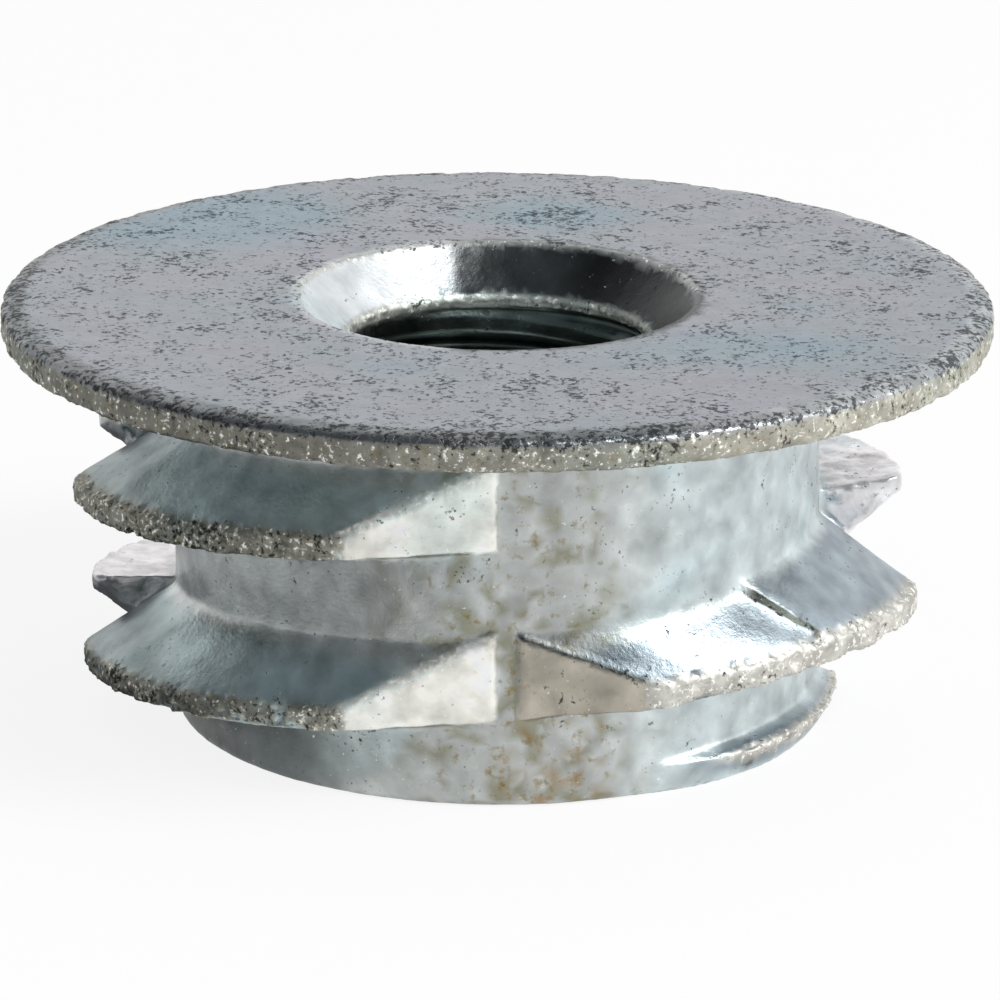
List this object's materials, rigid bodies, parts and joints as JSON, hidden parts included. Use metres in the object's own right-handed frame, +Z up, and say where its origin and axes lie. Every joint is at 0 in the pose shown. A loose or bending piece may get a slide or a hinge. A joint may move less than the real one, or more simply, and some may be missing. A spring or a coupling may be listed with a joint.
{
  "type": "threaded insert",
  "caption": "Round flanged insert with slanted barbs round its boss and a threaded through hole, pressed into a drilled hole in a board.",
  "frame": {"origin": "on the thread's axis, at the bottom end, which enters the board first", "axes": "+Z up along the thread's axis, from the bottom end to the flange; X along the parting line, -Y the front"},
  "size_m": [0.022, 0.022, 0.0095],
  "materials": {
    "plated_zinc": "cast zinc with a thin clear zinc plating, satin, speckled and pitted"
  },
  "bodies": {
    "root": {"insert": "plated_zinc"}
  },
  "joints": []
}
